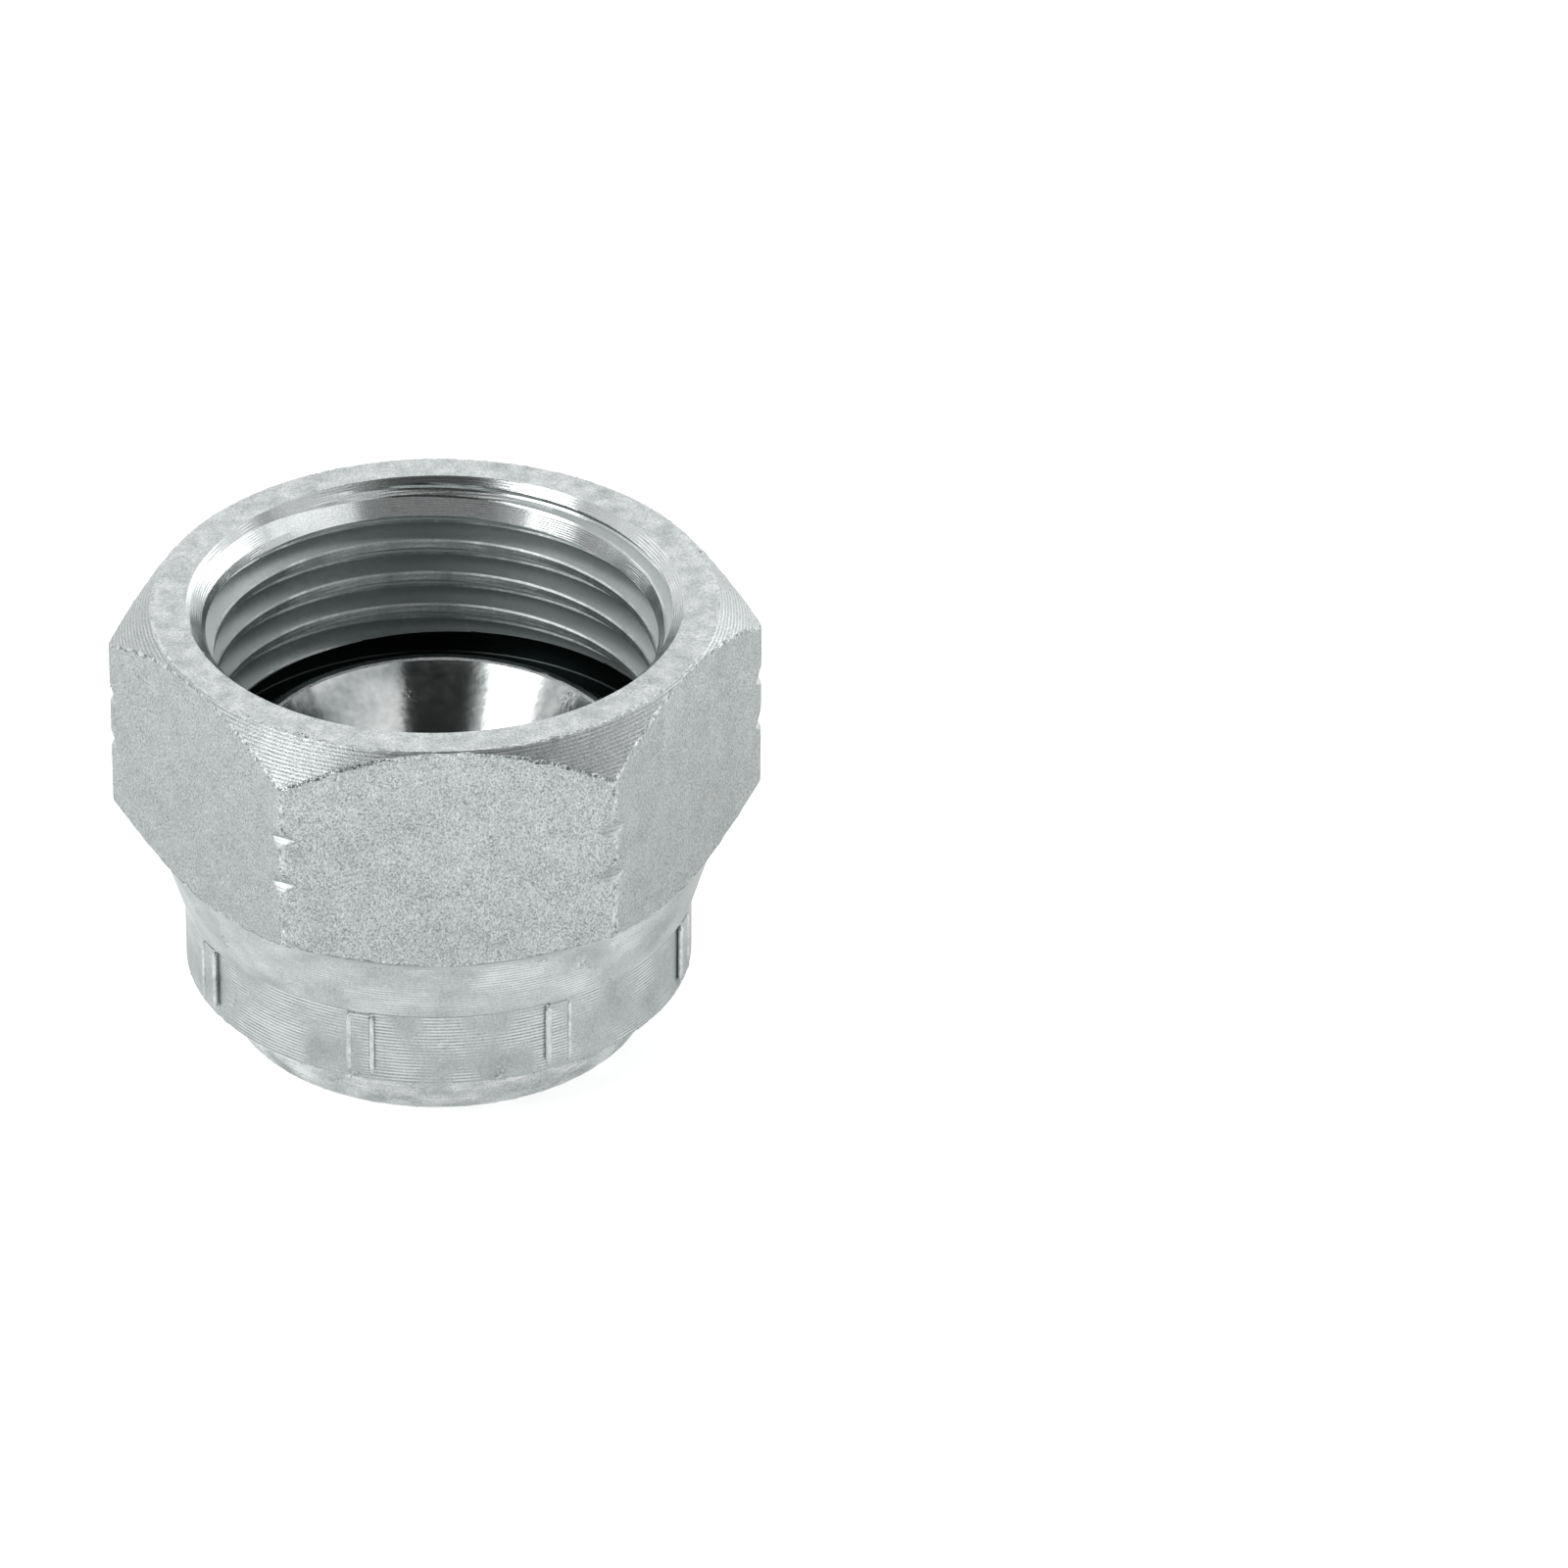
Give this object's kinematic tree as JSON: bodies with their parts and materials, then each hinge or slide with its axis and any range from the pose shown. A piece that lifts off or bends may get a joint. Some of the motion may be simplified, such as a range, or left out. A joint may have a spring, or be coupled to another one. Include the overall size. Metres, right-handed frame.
{
  "type": "swivel nut blanking cap",
  "caption": "Zinc-plated steel hexagon swivel nut with a female thread, crimped onto a turned blanking plug with a conical sealing seat, for closing a flared tube fitting.",
  "frame": {"origin": "middle of the plug's outer face, which the cap stands on", "axes": "+Z along the thread axis, out of the nut's mouth; two corners of the hexagon lie on the X axis and two of its flats face +Y and -Y"},
  "size_m": [0.0364, 0.0318, 0.026],
  "materials": {
    "blanking_plug": "turned, zinc plated, clear passivated",
    "swivel_nut": "turned from hexagon bar, blasted flats, zinc plated, clear passivated"
  },
  "bodies": {
    "plug": {"blanking_plug": "blanking_plug"},
    "nut": {"swivel_nut": "swivel_nut"}
  },
  "joints": [
    {"name": "nut_swivel", "type": "hinge", "parent": "plug", "child": "nut", "pos_m": [0, 0, 0.00505], "axis": [0, 0, 1], "continuous": true}
  ]
}
